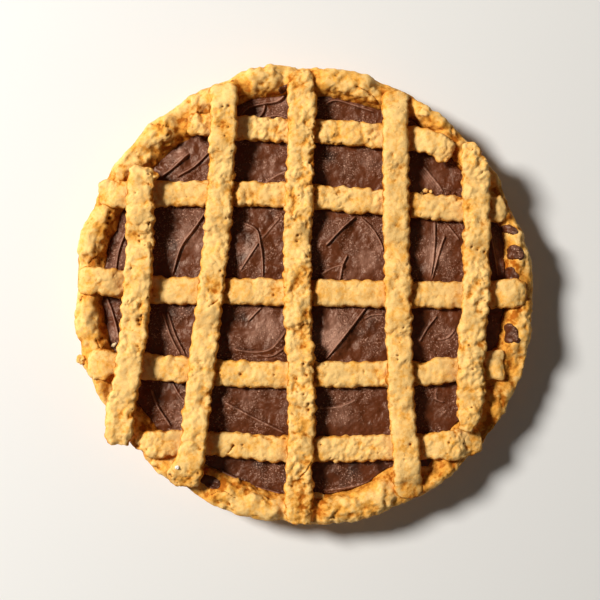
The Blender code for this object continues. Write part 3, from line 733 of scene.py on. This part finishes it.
corners[:, 2] += on_top * (strokes + fine)
put_corners(mesh, corners)
# Painted shade where the spread lies low beside a fold, and painted highlight along the crests and fine
# ridges.
tones = {"painted_shade": rise(0.0, -0.5, strokes), "painted_sheen": crests}
for name, tone_places in (("painted_shade", SHADE_PLACES), ("painted_sheen", SHEEN_PLACES)):
    for x, y, radius, share in tone_places:
        tones[name] += share * spot(corners, x, y, radius)
    note(mesh, name, tones[name])
bpy.ops.object.shade_smooth()
filling.data.materials.append(spread_finish())
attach(filling, "root")
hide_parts("hazelnut_filling")


# The strips: the same dough, rolled, cut with a fluted wheel and laid over the filling, five one
# way and then five the other, with their ends pressed into the rim. Each is a copy of its solid.
STRIP_GRAIN = 0.00042  # how long the sides of a strip's faces are, in metres
STRIP_SMOOTHING = 3  # rounds
STRIP_PALE_SHARE = 0.08
STRIP_FILLET = 0.5
STRIP_FILLET_REACH = 1.6
SQUARE_END_LENGTH = 8.0
END_CORNER_LENGTH = 3.4  # how far the corners of the square end reach past its middle
END_HOLLOW = 0.8
END_FLARE = 1.2
END_CURL = 1.3
STRIP_HOLLOWS = [
    (-85.4, 29.2, 0.8, 1.1), (-85.4, 26.9, 0.8, 1.1), (-85.4, -14.4, 1.0, 1.4), (-84.9, -16.2, 0.9, 1.2),
    (-84.3, -12.3, 0.5, 0.8), (-86.9, 51.4, 0.6, 0.8), (-80.2, 60.9, 0.6, 0.8),
    (-88.2, -59.8, 0.6, 0.8), (-79.7, 36.1, 0.6, 0.7), (-39.1, 96.5, 0.8, 1.0), (-42.0, 96.0, 0.7, 0.9),
    (-39.1, 85.7, 0.7, 0.9), (-41.0, 81.0, 0.7, 0.8), (-43.2, 11.4, 0.7, 0.9), (-41.7, 8.8, 0.7, 0.8),
    (-54.4, -92.3, 0.9, 1.0), (-0.4, -36.6, 0.9, 1.1), (-4.1, -44.1, 0.8, 1.0), (1.2, -42.5, 0.8, 1.0),
    (2.2, -57.2, 0.8, 0.9), (2.2, -60.3, 0.8, 1.0), (-0.4, -52.1, 0.8, 1.0), (0.8, -10.3, 1.4, 1.2),
    (-0.2, -17.5, 2.2, 0.9), (-3.3, 30.0, 0.8, 0.9), (-3.8, 26.9, 0.8, 0.9), (-5.9, 40.3, 0.6, 0.8),
    (48.1, -32.2, 0.7, 0.9), (48.1, -34.3, 0.7, 1.0), (54.4, -77.7, 0.8, 1.0), (53.4, 15.0, 1.0, 0.6),
    (86.4, 23.8, 0.7, 0.8), (89.5, 22.2, 0.7, 0.8), (93.1, 21.2, 0.7, 0.8), (84.4, -26.8, 0.8, 0.9),
    (86.4, -39.2, 0.8, 0.9), (85.9, -58.8, 0.8, 0.9), (-15.9, -1.0, 0.8, 0.9), (-33.0, -42.0, 0.9, 1.1),
    (-15.7, -42.3, 0.7, 0.9), (-36.7, -78.9, 1.0, 1.3), (-32.0, -78.6, 0.6, 0.9), (8.5, -78.4, 0.6, 0.8),
    (74.6, -77.1, 0.8, 1.0), (62.7, -35.6, 1.2, 1.0), (79.7, 70.2, 1.4, 0.8),
]
STRIP_CRACKS = [
    [(-49.2, -7.2), (-47.2, -5.6), (-44.6, -3.6)], [(-2.0, -94.6), (0.8, -91.8), (3.8, -87.3)],
    [(-36.9, -78.9), (-37.9, -81.0), (-39.4, -82.5)], [(-84.3, -14.9), (-83.6, -12.9), (-83.8, -11.3)],
]
STRIP_BROWN_PLACES = [
    (0.3, -66.0, 5.0, 0.45), (52.6, -8.9, 3.5, 0.4), (93.0, 34.7, 3.5, 0.4), (28.5, 43.0, 3.0, 0.35),
    (0.0, 105.0, 4.0, 0.45), (52.0, -97.0, 5.0, 0.3), (54.0, -103.0, 5.0, 0.5), (-48.0, -60.0, 5.0, 0.2),
    (78.0, -74.0, 4.0, 0.3), (-86.0, -75.0, 4.0, 0.3), (47.0, 60.0, 5.0, 0.2), (5.0, 60.0, 4.0, 0.3),
    (-0.9, -20.1, 4.5, 0.55), (0.5, -27.0, 4.0, 0.35), (-1.6, -102.4, 5.0, 0.45), (0.5, -12.0, 4.0, 0.35),
    (-41.0, 86.0, 3.5, 0.35), (-40.5, 79.0, 3.0, 0.35), (89.6, -58.8, 4.0, 0.4), (2.0, 8.0, 4.0, 0.3),
    (88.0, 22.0, 4.0, 0.2), (-82.0, -14.0, 4.0, 0.3), (52.5, -77.0, 4.0, 0.3), (1.5, -75.0, 4.0, 0.3),
    (-62.0, -97.0, 6.0, 0.45), (-57.0, -90.0, 5.0, 0.2), (0.0, -110.0, 7.0, 0.4), (0.5, -40.0, 4.0, 0.3),
]
STRIP_ROUGHNESS = {
    "cross_strip_1": 1.0, "cross_strip_2": 0.8, "cross_strip_3": 0.55, "cross_strip_4": 0.7,
    "cross_strip_5": 0.75, "top_strip_1": 0.9, "top_strip_2": 0.8, "top_strip_3": 1.15,
    "top_strip_4": 0.65, "top_strip_5": 1.05,
}


def strip_browning_and_shade(corners, normals, relief):
    """Brown on the cut sides and underneath, partly painted shade on the sides, and painted shade down in
    the creases.
    """
    sides = 0.65 * rise(0.88, 0.3, normals[:, 2])
    creases = 0.8 * rise(0.0, -1.3, relief)
    return np.clip(sides + creases, 0.0, 1.0)


def square_off(strip):
    """Gives the free right end of a strip its two square, curled corners and hollow middle."""
    corners, normals = corners_and_normals(strip.data)
    end = corners[:, 0].max()
    at_end = rise(end - SQUARE_END_LENGTH, end, corners[:, 0])
    beside = corners[corners[:, 0] > end - SQUARE_END_LENGTH][:, 1]
    middle = (beside.max() + beside.min()) / 2
    across = (corners[:, 1] - middle) / (beside.max() - middle)
    corners[:, 0] += at_end * (END_CORNER_LENGTH * across ** 2 - END_HOLLOW)
    corners[:, 1] += at_end * END_FLARE * across
    corners[:, 2] += at_end * END_CURL * across ** 2
    put_corners(strip.data, corners)


def smooth_out(piece, rounds):
    """Rounds off the facets that a piece still has."""
    only(piece)
    bpy.ops.object.mode_set(mode="EDIT")
    bpy.ops.mesh.select_all(action="SELECT")
    bpy.ops.mesh.vertices_smooth(factor=0.5, repeat=rounds)
    bpy.ops.object.mode_set(mode="OBJECT")


strip_dough = baked_dough("baked_strips", STRIP_PALE_SHARE)
strip_marks = (STRIP_HOLLOWS, STRIP_CRACKS, STRIP_BROWN_PLACES)
dough_nodes = [*strip_nodes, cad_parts["crust_case"]]
for seed, (node, roughness) in enumerate(STRIP_ROUGHNESS.items(), start=1):
    strip = merged_copy(node, "baked_" + node)
    subdivide_smoothly(strip, "SIMPLE", 1)
    subdivide_smoothly(strip, "CATMULL_CLARK", 1)
    strip.data.remesh_voxel_size = STRIP_GRAIN
    bpy.ops.object.voxel_remesh()
    smooth_out(strip, STRIP_SMOOTHING)
    others = [other for other in dough_nodes if other.name != node]
    if node == "cross_strip_4":
        square_off(strip)
    roughen(
        strip, roughness, seed, strip_browning_and_shade, strip_marks, others, STRIP_FILLET, STRIP_FILLET_REACH
    )
    strip.data.materials.append(strip_dough)
    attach(strip, "root")
    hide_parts(node)


# Smears of the spread that a hand or the spatula left on the rim. Each is a thin coat, made from a
# patch of the rim's own surface, lifted a little and closed underneath.
SMEAR_THICKNESS = 0.5
SMEAR_DARKNESS = 0.3  # painted shade: how much darker the smears are made than the spread in the case
SMEAR_EDGE = 0.8  # where the sum of a smear's blots is less than this, it ends
SMEAR_FULL = 1.7  # and from here on it has its full thickness
SMEAR_SINK = 0.12  # how far its edge lies in the dough
SMEAR_BACK = 0.3  # from a smear's surface to its underside, which lies within the dough
RIM_LOWEST = 15.0  # below this height the case is wall or floor
# Each smear is a few round blots: a place and its radius.
SMEARS = [
    [(103.5, 33.9, 1.5), (106.1, 33.9, 2.2), (108.7, 32.3, 2.2)],
    [(108.2, 23.0, 2.4), (111.3, 21.4, 2.4), (111.8, 18.8, 1.8), (107.7, 19.4, 2.0)],
    [(107.2, 12.1, 2.0), (106.7, 9.5, 2.6), (109.8, 8.5, 2.0), (105.1, 7.4, 1.8)],
    [(106.1, -17.5, 2.2), (108.2, -20.6, 2.6), (106.1, -23.7, 2.4), (110.3, -24.7, 1.4)],
    [(-12.2, 106.5, 1.6), (-9.6, 107.6, 1.6)],
    [(-49.5, -97.4, 3.0), (-45.9, -98.9, 2.6), (-53.0, -96.0, 2.0)],
]


def smeared(places, blots):
    """More than 1 inside the outline that some round blots of spread make together."""
    total = np.zeros(len(places))
    for x, y, radius in blots:
        total += np.exp(1.0 - (np.hypot(places[:, 0] - x, places[:, 1] - y) / radius) ** 2)
    return total


smear_finish = spread_finish()
for number, blots in enumerate(SMEARS, start=1):
    smear = bpy.data.objects.new(f"smear_{number}", case.data.copy())
    bpy.context.scene.collection.objects.link(smear)
    mesh = smear.data
    mesh.materials.clear()
    corners, normals = corners_and_normals(mesh)
    covered = (smeared(corners[:, :2], blots) > SMEAR_EDGE) & (corners[:, 2] > RIM_LOWEST)
    only(smear)
    select_faces(smear, lambda face: not all(covered[i] for i in face.vertices))
    bpy.ops.mesh.delete(type="FACE")
    bpy.ops.object.mode_set(mode="OBJECT")
    corners, normals = corners_and_normals(mesh)
    depth = smeared(corners[:, :2], blots)
    uneven = np.array([noise.noise(Vector(c) / 2.0) for c in corners])
    coat = SMEAR_THICKNESS * (1 + 0.7 * uneven)
    lift = coat * rise(SMEAR_EDGE, SMEAR_FULL, depth + 0.3 * uneven) - SMEAR_SINK
    corners += normals * lift[:, None]
    put_corners(mesh, corners)
    under = smear.modifiers.new("underside", "SOLIDIFY")
    under.thickness = SMEAR_BACK * MM
    under.offset = -1.0
    bpy.ops.object.modifier_apply(modifier=under.name)
    bpy.ops.object.shade_smooth()
    # Painted shade: each smear is darkened all over through the spread's shade share.
    note(mesh, "painted_shade", np.full(len(mesh.vertices), SMEAR_DARKNESS))
    smear.data.materials.append(smear_finish)
    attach(smear, "root")


# Crumbs: bits of the dough that broke off and lie on the filling and the rim, with one pale speck
# and one thin flake. Each lies on what is under it.
SPECK_CREAM = (0.82, 0.64, 0.38, 1.0)
SPECK_WHITE = (0.95, 0.93, 0.88, 1.0)
CRUMB_LIFT = 0.45  # how far a crumb's middle is above the ground, as a share of its half height
CRUMB_CRAGS = 0.4
CRUMBS = [
    # name, place, half sizes, turn in degrees, finish
    ("rim_ball", (-116.0, -34.5), (2.7, 2.6, 2.4), 0, "dough"),
    ("pale_crumb", (-99.6, -26.8), (1.5, 1.0, 0.8), 30, "cream"),
    ("speck", (-64.9, -89.1), (1.1, 1.0, 0.7), 0, "white"),
    ("flake", (7.4, -105.8), (4.4, 2.2, 0.9), -14, "dough"),
    ("crumb_1", (63.6, 54.2), (1.4, 1.2, 1.0), 0, "dough"),
    ("crumb_2", (61.4, 52.6), (1.0, 0.9, 0.8), 40, "dough"),
    ("crumb_3", (66.4, 53.6), (0.9, 0.8, 0.7), 80, "dough"),
    ("lump_1", (77.4, 51.9), (1.7, 1.3, 1.1), 20, "spread"),
    ("lump_2", (75.6, 53.0), (1.3, 1.2, 1.0), 0, "spread"),
]


def pale_finish(name, colour):
    """A pale crumb of dough, mottled with gold."""
    material, shader, place = new_finish(name)
    mottle = place.noise(0.9, 3.0, 0.6).between(0.45, 0.75)
    feed(shader, "Base Color", (mottle * 0.5).blend(colour, DOUGH_PALE))
    shader.inputs["Roughness"].default_value = 0.7
    feed(shader, "Normal", place.node(
        "Bump", {}, {"Height": place.noise(0.5, 3.0), "Strength": 0.5, "Distance": 0.2 * MM}
    ))
    return material


crumb_finishes = {
    "dough": (strip_dough, "baked_strips"), "spread": (smear_finish, "chocolate_hazelnut"),
    "cream": (pale_finish("pale_crumb", SPECK_CREAM), "baked_strips"),
    "white": (pale_finish("white_speck", SPECK_WHITE), "baked_strips"),
}
dough_pieces = [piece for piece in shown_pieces() if piece.name.startswith("baked")]
for name, (x, y), halves, turn, finish in CRUMBS:
    above = Vector((x * MM, y * MM, LOOK_FROM))
    hits = [piece.ray_cast(above, Vector((0, 0, -1))) for piece in (*dough_pieces, filling)]
    ground = max(hit[1].z for hit in hits if hit[0])
    bpy.ops.object.select_all(action="DESELECT")
    bpy.ops.mesh.primitive_ico_sphere_add(
        subdivisions=4, radius=1.0, scale=[half * MM for half in halves],
        location=(x * MM, y * MM, ground + CRUMB_LIFT * halves[2] * MM),
        rotation=(0, 0, math.radians(turn)),
    )
    crumb = bpy.context.object
    crumb.name = name
    bpy.ops.object.transform_apply(location=True, rotation=True, scale=True)
    corners, normals = corners_and_normals(crumb.data)
    size = min(halves)
    craggy = np.array([
        noise.noise(Vector(c) / size) + 0.5 * noise.noise(Vector(c) * 2.3 / size) for c in corners
    ])
    corners += normals * (CRUMB_CRAGS * size * craggy)[:, None]
    put_corners(crumb.data, corners)
    bpy.ops.object.shade_smooth()
    material, slot = crumb_finishes[finish]
    crumb.data.materials.append(material)
    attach(crumb, "root")
